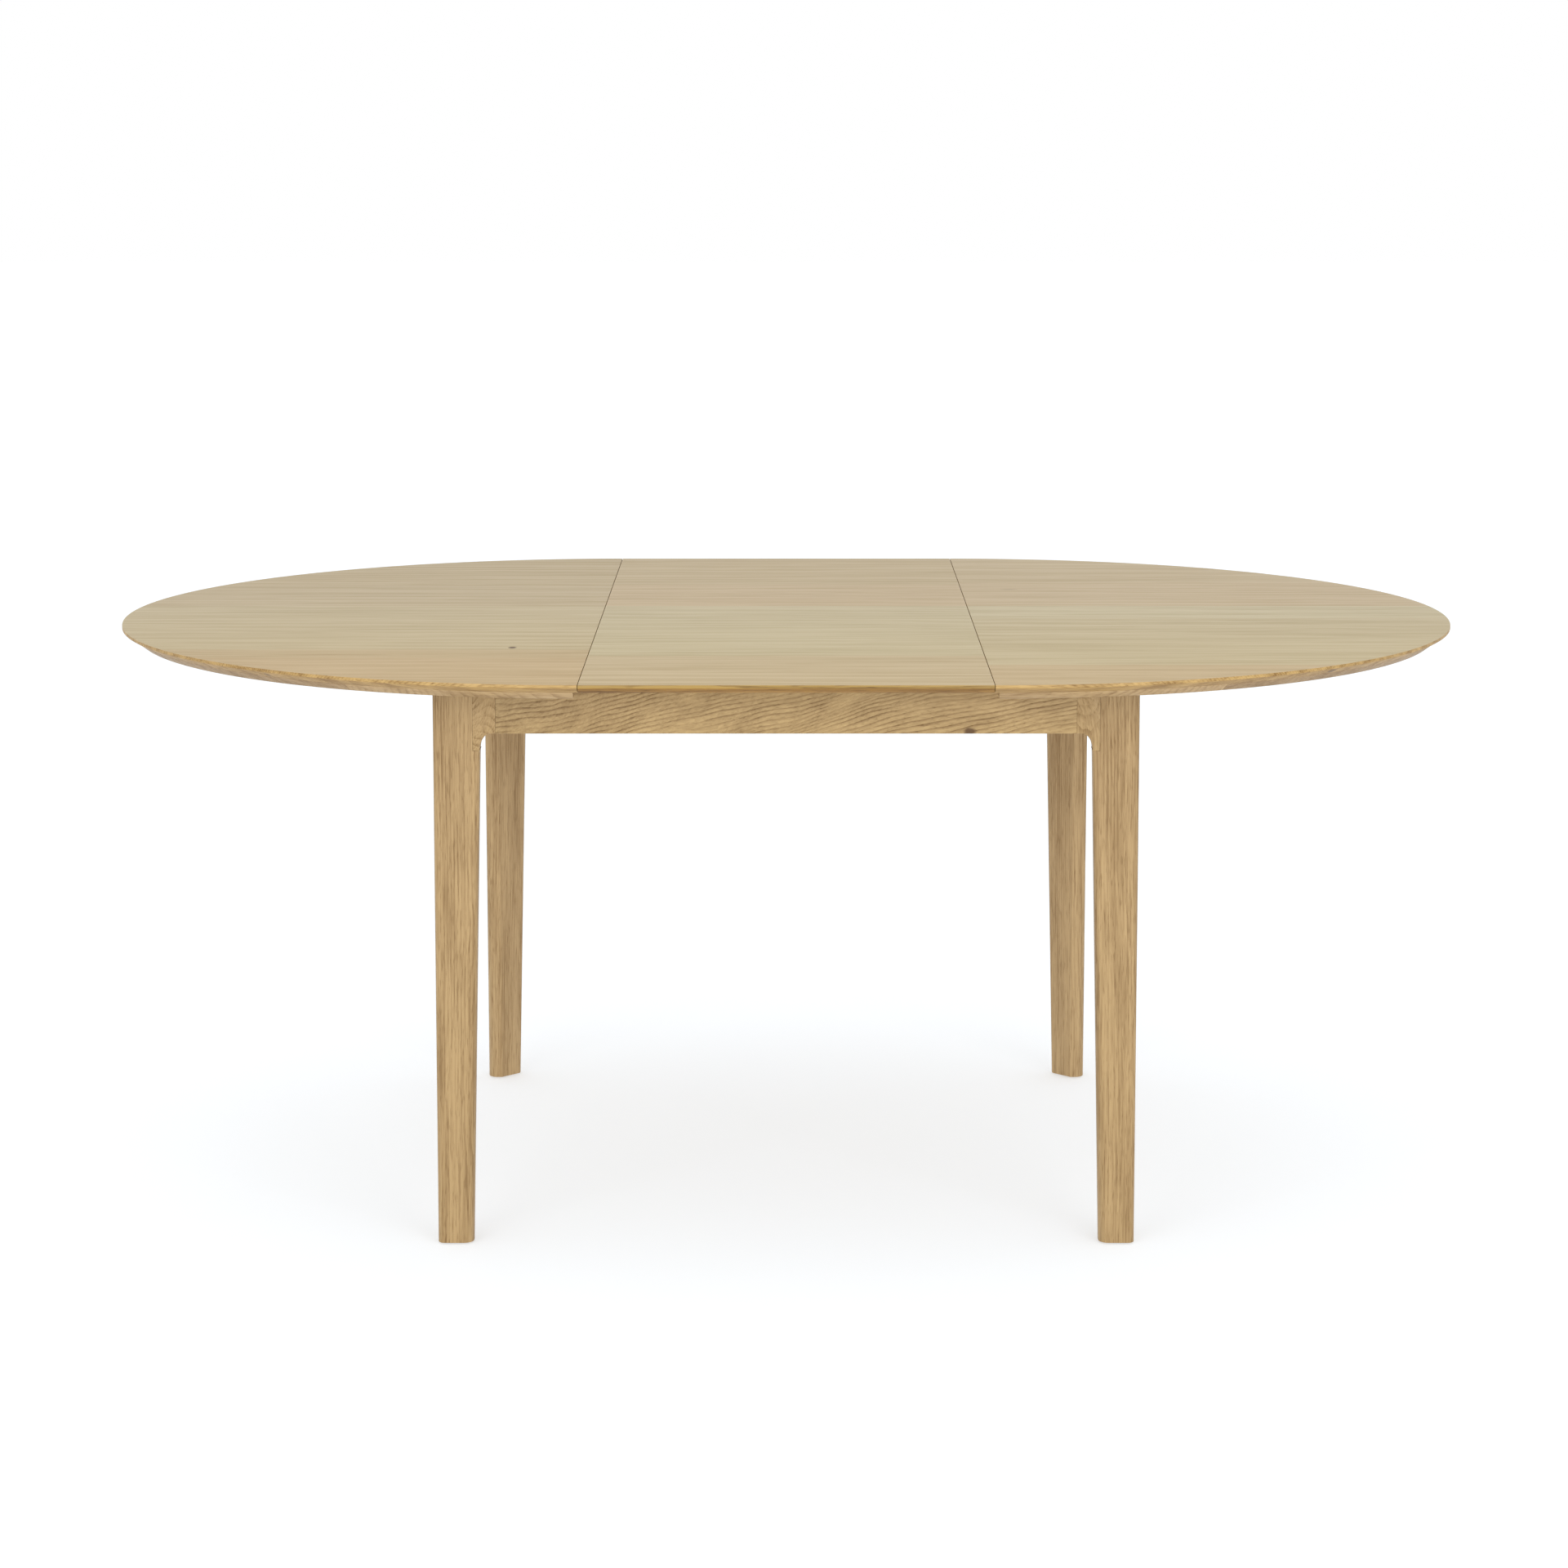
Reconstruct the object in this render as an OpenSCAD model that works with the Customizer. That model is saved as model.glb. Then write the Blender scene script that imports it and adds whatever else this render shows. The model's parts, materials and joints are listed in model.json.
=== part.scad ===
// Extending oval dining table: a fixed square base, two half-round top halves on wooden
// runners, and a lift-out centre leaf. Shown with the leaf in.
// Frame: origin on the floor under the middle, +X the way the table extends, -Y the front, +Z up.

/* [Top] */
// Height of the top surface above the floor
table_h = 750; // [680:5:920]
// Width of the centre leaf, measured along the way the table extends
leaf_w = 500; // [400:10:620]
// Radius of the round ends, which is half the table's width
end_r = 645; // [535:5:780]
// Thickness of the upper layer, which runs through the halves and the leaf
upper_t = 11; // [9:1:14]
// Thickness of the lower layer under each half
lower_t = 9; // [7:1:12]
// Height of the upright part of the edge, above its bevel
edge_h = 4; // [2:0.5:6]
// How far the bevel runs in under each layer
bevel_in = 12; // [6:1:16]
// Width of the rim that the lower layer makes round each half, at its underside
rim_w = 61; // [40:1:80]
// Angle of the first and last block of each rim
rim_end_angle = 27; // [18:1:36]
// How far the lower layer stands back from a seam
seam_setback = 6; // [2:1:12]
// Open gap at each seam
seam_gap = 0.8; // [0.4:0.1:2]
// Width of the battens along the seams
batten_w = 40; // [30:1:50]
// How far short of the rim a leaf batten ends
leaf_batten_inset = 20; // [10:1:60]

/* [Base] */
// Length of the base over its legs, along the way the table extends
base_l = 885; // [730:5:1070]
// Width of the base over its legs
base_w = 885; // [730:5:1070]
// Height of the aprons
apron_h = 71; // [58:1:86]
// Thickness of the aprons
apron_t = 22; // [18:1:27]
// Gap between the base and the moving top
top_gap = 1; // [0.5:0.5:3]
// Width of a cross bearer
bearer_w = 40; // [30:1:50]
// Height of a cross bearer
bearer_h = 30; // [24:1:36]
// Distance of each cross bearer from the middle
bearer_x = 200; // [150:5:250]
// Thickness of a corner block, across its slanted faces
block_t = 24; // [18:1:30]
// Distance from a corner of the base to where its corner block starts
block_start = 86; // [82:1:100]

/* [Legs] */
// Width of the square post at the head of a leg
post_w = 50; // [44:1:58]
// Width of the ear blocks glued to each post
ear_w = 29; // [24:1:35]
// Width of a leg just under its knee
knee_w = 59; // [54:1:70]
// Width of a leg at the floor
foot_w = 45; // [36:1:54]
// Length of the ears below the aprons
ear_drop = 22; // [20:1:28]
// Rounding of a leg's outer corner
corner_r = 8; // [4:1:10]
// Rounding at the floor of the two edges where a leg's outer faces end
edge_r = 13; // [8:1:15]
// The same rounding just under the knee
edge_knee_r = 5; // [2:1:8]
// Radius of the curve from a leg into its ears
knee_r = 25; // [18:1:32]
// Height of the slope between the post's sawn inner face and the leg's wider one
shoulder_h = 14; // [8:1:20]
// Height of a glide under a foot
glide_h = 2; // [1:0.5:4]
// Radius of a glide
glide_r = 9; // [7:1:11]

/* [Slides] */
// Distance of each fixed guide from the ears of the legs beside it
guide_inset = 72; // [60:2:90]
// Width of a guide
guide_w = 24; // [20:1:30]
// Height of a guide
guide_h = 35; // [32:1:42]
// Width of a runner
runner_w = 24; // [20:1:30]
// Height of a runner
runner_h = 23; // [20:1:27]
// Length of a runner outboard of its half's seam
runner_out = 385; // [320:5:460]
// Distance from the middle of the table to a runner's inner end
runner_past = 60; // [20:5:120]
// Depth of a guide's grooves
groove_d = 6; // [4:0.5:7]
// Height of a guide's grooves
groove_h = 8; // [6:0.5:10]
// Side gap between a guide and a runner
slide_gap = 0.5; // [0.2:0.1:1]
// How far a half slides out from its place beside the leaf
slide_travel = 40; // [20:5:60]
// Diameter of the pegs that stop the runners
peg_d = 8; // [6:1:10]
// Extra width of a cleat on each side of its runner
cleat_over = 6; // [2:1:8]

/* [Leaf supports] */
// Distance of each support's pivot from the middle of the table, across its width
support_y = 150; // [110:5:170]
// Length of a support from its pivot to its tip
support_len = 50; // [40:1:58]
// Width of a support
support_w = 18; // [14:1:22]
// Thickness of a support
support_t = 2.5; // [2:0.5:4]
// Gap between a support and what it swings under
support_gap = 0.3; // [0.2:0.1:0.6]

/* [Fasteners] */
// Diameter of the wood screws
screw_d = 4; // [3:0.5:5]
// Diameter of a screw head
screw_head_d = 8; // [7:0.5:10]
// Height of a screw head
screw_head_h = 3; // [2:0.5:4]
// How far a screw goes into the wood it holds
screw_bite = 7; // [5:0.5:8]
// Diameter of the dowels
dowel_d = 8; // [6:1:10]
// How far a dowel goes into a post or an apron
dowel_bite = 16; // [12:1:20]
// Diameter of the hanger bolts that pull each leg to its corner block
bolt_d = 8; // [6:1:10]
// Width across the flats of a hanger bolt's nut
nut_af = 13; // [11:1:17]
// Height of that nut
nut_h = 6; // [5:1:8]
// Diameter of the washer under it
washer_d = 18; // [16:1:24]
// Thickness of that washer
washer_t = 1.6; // [1:0.2:2.4]

/* [Hidden] */
seam_x = leaf_w / 2;
underside_z = table_h - upper_t;
top_base_z = underside_z - lower_t;
apron_top = top_base_z - top_gap;
apron_z = apron_top - apron_h;
knee_z = apron_z - ear_drop;
knee_centre_z = knee_z + 2;
leg_end_w = apron_t - 2;
rim_in_r = end_r - 2 * bevel_in - rim_w;
lower_edge = seam_x + seam_setback;
cleat_x = lower_edge + batten_w;
head_w = post_w + ear_w;
apron_in_l = base_l / 2 - apron_t;
apron_in_w = base_w / 2 - apron_t;
guide_y = base_w / 2 - head_w - guide_inset;
guide_z = apron_top - guide_h;
bearer_z = guide_z - bearer_h;
runner_z = top_base_z - runner_h;
groove_z = runner_z + (runner_h - groove_h) / 2;
tongue_play = 0.3;
rim_clear = 2;
peg_gap = 0.3;
peg_drop = 5;
peg_bite = 12;
runner_off = guide_w / 2 + slide_gap + runner_w / 2;
outer_y = guide_y + runner_off;
inner_y = guide_y - runner_off;
support_x = lower_edge + batten_w / 2;
block_z = apron_z + 2;
block_h = runner_z - 2 - block_z;
bolt_z = block_z + block_h / 2;
bolt_in = 24;
hole_play = 0.05;
eps = 0.5;
oak_top = [0.80, 0.72, 0.60];
oak_base = [0.74, 0.61, 0.44];
oak_rim = [0.78, 0.66, 0.48];
beech = [0.84, 0.70, 0.53];
steel = [0.72, 0.73, 0.74];
brass = [0.80, 0.66, 0.35];
$fn = 48;

SIDES = [["left", -1], ["right", 1]];
RIM_BLOCKS = 5;

// ---- shared shapes ----

// Places a shape drawn for a corner, with u and v running inwards from it, at corner (sx, sy).
module at_corner(sx, sy) {
    translate([sx * base_l / 2, sy * base_w / 2, 0])
        mirror([sx > 0 ? 1 : 0, 0, 0])
            mirror([0, sy > 0 ? 1 : 0, 0])
                children();
}

module box(from, to) {
    translate(from) cube(to - from);
}

// A straight rod of diameter d from point a along direction dir ("x", "y" or "z").
module rod(a, d, len, dir) {
    turn = dir == "x" ? [0, 90, 0] : dir == "y" ? [-90, 0, 0] : [0, 0, 0];
    translate(a) rotate(turn) cylinder(h = len, d = d);
}

// A wood screw pointing up, with its head's lower face at z.
module screw_up(at, len, play = 0) {
    rod(at, screw_d + 2 * play, len, "z");
    rod(at - [0, 0, play > 0 ? eps : 0], screw_head_d + 2 * play, screw_head_h + (play > 0 ? eps : 0), "z");
}

// Keeps what lies beyond distance x on side s.
module beyond(s, x) {
    intersection() {
        children();
        translate([s > 0 ? x : -x - 2 * end_r, -2 * end_r, 0])
            cube([2 * end_r, 4 * end_r, 2 * table_h]);
    }
}

// ---- the two top halves ----

module half_panel(s) {
    color(oak_top)
        difference() {
            beyond(s, seam_x + seam_gap / 2)
                translate([s * seam_x, 0, 0])
                    rotate([0, 0, s > 0 ? -90 : 90])
                        rotate_extrude(angle = 180, $fn = 96)
                            polygon([
                                [0, underside_z],
                                [end_r - bevel_in, underside_z],
                                [end_r, table_h - edge_h],
                                [end_r, table_h],
                                [0, table_h]
                            ]);
            for (p = runner_screw_places(s))
                rod([p[0], p[1], top_base_z], screw_d + 2 * hole_play, lower_t + screw_bite, "z");
        }
}

// Block n of a rim, counted from 0 at the front seam round to the back seam.
rim_mid_angle = (180 - 2 * rim_end_angle) / (RIM_BLOCKS - 2);
function rim_from(n) = n == 0 ? 0 : rim_end_angle + (n - 1) * rim_mid_angle;
function rim_turn(n) = n == 0 || n == RIM_BLOCKS - 1 ? rim_end_angle : rim_mid_angle;

module rim_block(s, n) {
    color(oak_rim)
        beyond(s, lower_edge)
            mirror([s < 0 ? 1 : 0, 0, 0])
                translate([seam_x, 0, 0])
                    rotate([0, 0, -90 + rim_from(n)])
                        rotate_extrude(angle = rim_turn(n), $fn = 96)
                            polygon([
                                [rim_in_r, top_base_z],
                                [end_r - 2 * bevel_in, top_base_z],
                                [end_r - bevel_in, underside_z],
                                [rim_in_r, underside_z]
                            ]);
}

// The y places of side s's runners, front first: the left half's run outside the guides.
function runner_ys(s) = s < 0 ? [-outer_y, outer_y] : [-inner_y, inner_y];

function runner_screw_places(s) = [
    for (y = runner_ys(s), x = [support_x, cleat_x + 100, seam_x + runner_out - 60]) [s * x, y]
];

module seam_batten(s) {
    reach = sqrt(pow(rim_in_r, 2) - pow(cleat_x - seam_x, 2)) - rim_clear;
    color(beech)
        difference() {
            box([s > 0 ? lower_edge : -cleat_x, -reach, top_base_z],
                [s > 0 ? cleat_x : -lower_edge, reach, underside_z]);
            for (p = runner_screw_places(s))
                rod([p[0], p[1], top_base_z - eps], screw_d + 2 * hole_play, lower_t + 2 * eps, "z");
            for (y = [-support_y, support_y])
                rod([s * support_x, y, top_base_z - eps], screw_d + 2 * hole_play, lower_t - 1 + eps, "z");
        }
}

module cleats(s) {
    half = runner_w / 2 + cleat_over;
    far = seam_x + sqrt(pow(rim_in_r, 2) - pow(outer_y + half, 2)) - rim_clear;
    color(beech)
        difference() {
            for (y = runner_ys(s))
                box([s > 0 ? cleat_x : -far, y - half, top_base_z],
                    [s > 0 ? far : -cleat_x, y + half, underside_z]);
            for (p = runner_screw_places(s))
                rod([p[0], p[1], top_base_z - eps], screw_d + 2 * hole_play, lower_t + 2 * eps, "z");
        }
}

// A runner of side s at place y, with its tongue on the side that faces the guide.
module runner(s, y) {
    towards = (abs(y) > guide_y ? -1 : 1) * sign(y);
    near = -s * runner_past;
    far = s * (seam_x + runner_out);
    low = min(near, far);
    high = max(near, far);
    tongue = slide_gap + groove_d - tongue_play;
    color(beech)
        difference() {
            union() {
                box([low, y - runner_w / 2, runner_z], [high, y + runner_w / 2, top_base_z]);
                box([low, min(y, y + towards * (runner_w / 2 + tongue)), groove_z + tongue_play],
                    [high, max(y, y + towards * (runner_w / 2 + tongue)),
                     groove_z + groove_h - tongue_play]);
            }
            for (p = runner_screw_places(s))
                screw_up([p[0], p[1], runner_z], runner_h + eps, hole_play);
            stop_pegs(s, hole_play);
        }
}

module runner_screws(s) {
    color(steel)
        for (p = runner_screw_places(s))
            screw_up([p[0], p[1], runner_z], runner_h + lower_t + screw_bite - 0.5);
}

// Pegs under side s's runners, which meet the cross bearer when the half is right out.
module stop_pegs(s, play = 0) {
    at = s * (bearer_x - bearer_w / 2 - slide_travel - peg_gap - peg_d / 2);
    foot = guide_z - peg_drop;
    color(beech)
        for (y = runner_ys(s))
            rod([at, y, foot], peg_d + 2 * play, runner_z + peg_bite - foot, "z");
}

// ---- swivelling leaf supports under the seams ----

support_z = top_base_z - support_gap - support_t;

module leaf_support(s, side_y) {
    tip = -s * (support_len - support_w / 2);
    color(steel)
        translate([s * support_x, side_y * support_y, support_z])
            difference() {
                union() {
                    cylinder(h = support_t, d = support_w);
                    translate([tip, 0, 0]) cylinder(h = support_t, d = support_w);
                    box([min(0, tip), -support_w / 2, 0], [max(0, tip), support_w / 2, support_t]);
                }
                translate([0, 0, -eps]) cylinder(h = support_t + 2 * eps, d = screw_d + 0.1);
            }
}

module support_screws(s) {
    color(brass)
        for (y = [-support_y, support_y])
            screw_up([s * support_x, y, support_z - screw_head_h - 0.1],
                     screw_head_h + 0.1 + support_t + support_gap + lower_t - 1.5);
}

// ---- the leaf ----

module leaf_panel() {
    half = seam_x - seam_gap / 2;
    color(oak_top)
        difference() {
            translate([-half, 0, 0])
                rotate([90, 0, 90])
                    linear_extrude(2 * half)
                        polygon([
                            [-end_r + bevel_in, underside_z],
                            [-end_r, table_h - edge_h],
                            [-end_r, table_h],
                            [end_r, table_h],
                            [end_r, table_h - edge_h],
                            [end_r - bevel_in, underside_z]
                        ]);
            for (p = leaf_screw_places())
                rod([p[0], p[1], underside_z - eps], screw_d + 2 * hole_play, screw_bite + eps, "z");
        }
}

leaf_batten_x = seam_x - seam_setback - batten_w / 2;

function leaf_screw_places() = [
    for (s = [-1, 1], y = [-1, 0, 1]) [s * leaf_batten_x, y * (rim_in_r - leaf_batten_inset - 40)]
];

module leaf_batten(s) {
    reach = rim_in_r - leaf_batten_inset;
    color(beech)
        difference() {
            box([s * leaf_batten_x - batten_w / 2, -reach, top_base_z + support_gap],
                [s * leaf_batten_x + batten_w / 2, reach, underside_z]);
            for (p = leaf_screw_places())
                screw_up([p[0], p[1], top_base_z + support_gap], lower_t + eps, hole_play);
        }
}

module leaf_batten_screws() {
    color(steel)
        for (p = leaf_screw_places())
            screw_up([p[0], p[1], top_base_z + support_gap], lower_t - support_gap + screw_bite - 0.5);
}

// ---- legs and their heads ----

// Plan of a leg of width w: a square with its inner corner sawn off and its others rounded.
module leg_plan(w, r) {
    hull() {
        translate([corner_r, corner_r]) circle(corner_r, $fn = 32);
        translate([w - r, r]) circle(r, $fn = 32);
        translate([r, w - r]) circle(r, $fn = 32);
        polygon([[w - 1, leg_end_w], [w, leg_end_w], [leg_end_w, w], [leg_end_w, w - 1]]);
    }
}

// Plan of the post above it.
module post_plan() {
    translate([corner_r, corner_r]) circle(corner_r, $fn = 32);
    polygon([[corner_r, 0], [post_w, 0], [post_w, apron_t], [apron_t, post_w], [0, post_w],
             [0, corner_r]]);
}

// What is cut from the leg's top so that its sawn face slopes in to the post's.
module shoulder() {
    post_face = (post_w + apron_t) / sqrt(2);
    leg_face = (knee_w + leg_end_w) / sqrt(2);
    past = 1 + 1 / (leg_face - post_face);
    intersection() {
        box([apron_t, apron_t, knee_z - 2 * shoulder_h], [post_w, post_w, knee_z + 1]);
        rotate([0, 0, 45])
            translate([0, post_w, 0])
                rotate([90, 0, 0])
                    linear_extrude(2 * post_w)
                        polygon([[post_face, knee_z], [leg_face + 1, knee_z - past * shoulder_h],
                                 [leg_face + 1, knee_z + 2], [post_face, knee_z + 2]]);
    }
}

module leg(sx, sy) {
    color(oak_base)
        at_corner(sx, sy)
            difference() {
                union() {
                    translate([0, 0, knee_z]) linear_extrude(apron_top - knee_z) post_plan();
                    difference() {
                        hull() {
                            translate([0, 0, knee_z - 1]) linear_extrude(1)
                                leg_plan(knee_w, edge_knee_r);
                            translate([0, 0, glide_h]) linear_extrude(1) leg_plan(foot_w, edge_r);
                        }
                        shoulder();
                    }
                }
                corner_dowels(hole_play);
                corner_bolt(bolt_d + 2 * hole_play);
            }
}

// One ear, drawn along u with its face on v = 0.
module ear() {
    translate([0, apron_t, 0])
        rotate([90, 0, 0])
            linear_extrude(apron_t)
                difference() {
                    translate([post_w, knee_z]) square([ear_w, apron_top - knee_z]);
                    intersection() {
                        translate([knee_w + knee_r, knee_centre_z]) circle(knee_r, $fn = 96);
                        translate([knee_w, knee_z]) square([ear_w, apron_z - knee_z]);
                    }
                    translate([knee_w, knee_z - eps])
                        square([ear_w, knee_centre_z - knee_z + eps]);
                }
}

module ears(sx, sy) {
    color(oak_base)
        at_corner(sx, sy)
            difference() {
                union() {
                    ear();
                    mirror([1, -1, 0]) ear();
                }
                corner_dowels(hole_play);
            }
}

// The dowels at one corner: two through each ear, from the post into the apron.
module corner_dowels(play) {
    for (z = [apron_z + apron_h * 0.3, apron_z + apron_h * 0.74]) {
        rod([post_w - dowel_bite, apron_t / 2, z], dowel_d + 2 * play, ear_w + 2 * dowel_bite, "x");
        rod([apron_t / 2, post_w - dowel_bite, z + dowel_d + 2], dowel_d + 2 * play,
            ear_w + 2 * dowel_bite, "y");
    }
}

// Diagonal distances from a corner: the bolt's buried end and the corner block's two faces.
block_out = (block_start + apron_t) / sqrt(2);
block_in = block_out + block_t;

module corner_bolt(d) {
    translate([0, 0, bolt_z])
        rotate([0, 0, 45])
            rod([bolt_in, 0, 0], d, block_in + washer_t + nut_h + 5 - bolt_in, "x");
}

module corner_block(sx, sy) {
    stop = block_start + block_t * sqrt(2);
    color(beech)
        at_corner(sx, sy)
            difference() {
                translate([0, 0, block_z])
                    linear_extrude(block_h)
                        polygon([[apron_t, block_start], [apron_t, stop],
                                 [stop, apron_t], [block_start, apron_t]]);
                corner_bolt(bolt_d + 2 * hole_play);
            }
}

module hanger_bolts() {
    color(steel)
        for (sx = [-1, 1], sy = [-1, 1])
            at_corner(sx, sy) corner_bolt(bolt_d);
}

module hanger_nuts() {
    color(steel)
        for (sx = [-1, 1], sy = [-1, 1])
            at_corner(sx, sy)
                translate([0, 0, bolt_z])
                    rotate([0, 0, 45])
                        difference() {
                            union() {
                                rod([block_in, 0, 0], washer_d, washer_t, "x");
                                translate([block_in + washer_t, 0, 0])
                                    rotate([0, 90, 0])
                                        cylinder(h = nut_h, d = nut_af / cos(30), $fn = 6);
                            }
                            rod([block_in - eps, 0, 0], bolt_d + 2 * hole_play,
                                washer_t + nut_h + 2 * eps, "x");
                        }
}

module foot_glides() {
    inset = foot_w * 0.36;
    color("dimgray")
        for (sx = [-1, 1], sy = [-1, 1])
            at_corner(sx, sy) translate([inset, inset, 0]) cylinder(h = glide_h, r = glide_r);
}

module apron_dowels() {
    color(beech)
        for (sx = [-1, 1], sy = [-1, 1])
            at_corner(sx, sy) corner_dowels(0);
}

module all_corner_dowel_holes() {
    for (sx = [-1, 1], sy = [-1, 1])
        at_corner(sx, sy) corner_dowels(hole_play);
}

// ---- aprons, bearers and guides ----

module long_apron(sy) {
    reach = base_l / 2 - head_w;
    out = sy * base_w / 2;
    inner = sy * apron_in_w;
    color(oak_base)
        difference() {
            box([-reach, min(out, inner), apron_z], [reach, max(out, inner), apron_top]);
            all_corner_dowel_holes();
            bearer_dowel_rods(hole_play);
        }
}

// An end apron, notched at its top where the runners pass.
module end_apron(sx) {
    reach = base_w / 2 - head_w;
    out = sx * base_l / 2;
    inner = sx * apron_in_l;
    notch = runner_off + runner_w / 2 + 2;
    color(oak_base)
        difference() {
            box([min(out, inner), -reach, apron_z], [max(out, inner), reach, apron_top]);
            all_corner_dowel_holes();
            for (y = [-guide_y, guide_y])
                box([min(out, inner) - eps, y - notch, runner_z - 1.5],
                    [max(out, inner) + eps, y + notch, apron_top + eps]);
        }
}

module bearer_dowel_rods(play) {
    for (sx = [-1, 1], sy = [-1, 1], dx = [-1, 1])
        rod([sx * bearer_x + dx * bearer_w / 4,
             sy > 0 ? apron_in_w - dowel_bite : -apron_in_w - apron_t / 2,
             bearer_z + bearer_h / 2],
            dowel_d + 2 * play, dowel_bite + apron_t / 2, "y");
}

module bearer(s) {
    color(beech)
        difference() {
            box([s * bearer_x - bearer_w / 2, -apron_in_w, bearer_z],
                [s * bearer_x + bearer_w / 2, apron_in_w, guide_z]);
            bearer_dowel_rods(hole_play);
            guide_screw_rods(hole_play);
        }
}

module bearer_dowels() {
    color(beech) bearer_dowel_rods(0);
}

module guide_screw_rods(play) {
    for (sx = [-1, 1], sy = [-1, 1])
        screw_up([sx * bearer_x, sy * guide_y, bearer_z], bearer_h + 2 * screw_bite + play, play);
}

module guide_screws() {
    color(steel) guide_screw_rods(0);
}

module guide(sy) {
    y = sy * guide_y;
    color(beech)
        difference() {
            box([-apron_in_l, y - guide_w / 2, guide_z], [apron_in_l, y + guide_w / 2, apron_top]);
            for (d = [-1, 1])
                box([-apron_in_l - eps, y + d * guide_w / 2 - groove_d, groove_z],
                    [apron_in_l + eps, y + d * guide_w / 2 + groove_d, groove_z + groove_h]);
            guide_screw_rods(hole_play);
        }
}

// ---- nodes ----

for (side = SIDES) {
    name = side[0];
    s = side[1];
    half_panel(s);
    for (n = [0 : RIM_BLOCKS - 1])
        rim_block(s, n);
    seam_batten(s);
    cleats(s);
    runner(s, runner_ys(s)[0]);
    runner(s, runner_ys(s)[1]);
    runner_screws(s);
    stop_pegs(s);
    leaf_support(s, -1);
    leaf_support(s, 1);
    support_screws(s);
    leaf_batten(s);
    end_apron(s);
    bearer(s);
    for (row = [["front", -1], ["back", 1]]) {
        corner = str(row[0], "_", name);
        leg(s, row[1]);
        ears(s, row[1]);
        corner_block(s, row[1]);
    }
}
leaf_panel();
leaf_batten_screws();
long_apron(-1);  // apron_front
long_apron(1);  // apron_back
hanger_bolts();
hanger_nuts();
apron_dowels();
foot_glides();
bearer_dowels();
guide(-1);  // guide_front
guide(1);  // guide_back
guide_screws();
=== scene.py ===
# %% [markdown]
# An extending dining table in oak. The top is three boards: two half-rounds that slide apart and
# a straight leaf between them. It stands on a fixed frame of four aprons and four tapered legs.
# The CAD frame is loaded first, because every size and place below is read from it.

# %% Load the frame
import json
import math

import bpy
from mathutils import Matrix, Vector


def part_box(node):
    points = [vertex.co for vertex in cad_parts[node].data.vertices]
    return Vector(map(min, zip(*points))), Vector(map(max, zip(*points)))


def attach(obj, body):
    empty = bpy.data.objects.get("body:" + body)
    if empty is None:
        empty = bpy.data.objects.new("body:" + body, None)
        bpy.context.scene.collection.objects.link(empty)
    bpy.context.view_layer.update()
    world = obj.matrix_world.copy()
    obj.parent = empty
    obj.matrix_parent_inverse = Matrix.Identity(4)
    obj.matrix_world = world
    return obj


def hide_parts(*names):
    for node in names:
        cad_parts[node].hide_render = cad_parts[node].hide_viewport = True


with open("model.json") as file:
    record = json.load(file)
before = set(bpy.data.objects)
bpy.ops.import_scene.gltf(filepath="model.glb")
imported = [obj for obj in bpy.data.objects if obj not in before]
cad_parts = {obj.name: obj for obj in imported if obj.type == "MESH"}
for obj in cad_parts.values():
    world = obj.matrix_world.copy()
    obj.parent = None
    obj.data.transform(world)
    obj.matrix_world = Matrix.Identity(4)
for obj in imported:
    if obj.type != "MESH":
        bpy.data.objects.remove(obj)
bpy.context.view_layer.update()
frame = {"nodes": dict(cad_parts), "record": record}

# %% [markdown]
# The table is seen from a little above its top, square on to its long side, through a long lens.
# The lens is shifted down slightly, as with a view camera, so that the legs stay nearly upright.

# %% Camera
CAMERA_BACK = 5.185
CAMERA_HEIGHT = 1.439
CAMERA_TILT = 0.1253
LENS = 88.2
SENSOR = 36.0
SHIFT_X, SHIFT_Y = -0.0014, -0.125


def make_camera():
    """Adds the camera in front of the table, tilted down a little."""
    data = bpy.data.cameras.new("camera")
    data.sensor_width = SENSOR
    data.lens = LENS
    data.shift_x = SHIFT_X
    data.shift_y = SHIFT_Y
    camera = bpy.data.objects.new("camera", data)
    camera.location = (0, -CAMERA_BACK, CAMERA_HEIGHT)
    camera.rotation_euler = (math.pi / 2 - CAMERA_TILT, 0, 0)
    bpy.context.scene.collection.objects.link(camera)
    bpy.context.scene.camera = camera


make_camera()
print("camera", CAMERA_BACK, "m back,", CAMERA_HEIGHT, "m up, lens", LENS, "mm")

# %% [markdown]
# A white sweep under an even white sky is the plainest studio there is. Two broad soft panels
# add a little direction, so that the upright faces and the top don't have the same brightness.
# The floor glows faintly, as a lit sweep does, which keeps the shade under the table pale.


# %% Floor and light
def node_of(tree, kind, inputs=None, **settings):
    """Adds a node, sets its properties, and links or sets the inputs given by name or number."""
    made = tree.nodes.new(kind)
    for key, value in settings.items():
        setattr(made, key, value)
    for key, value in (inputs or {}).items():
        if isinstance(value, bpy.types.NodeSocket):
            tree.links.new(value, made.inputs[key])
        else:
            made.inputs[key].default_value = value
    return made


FLOOR_SIZE = 60
FLOOR_TONE = (0.48, 0.52, 0.56, 1)
FLOOR_GLOW = 0.53
WHITE = (1, 1, 1, 1)


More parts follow.
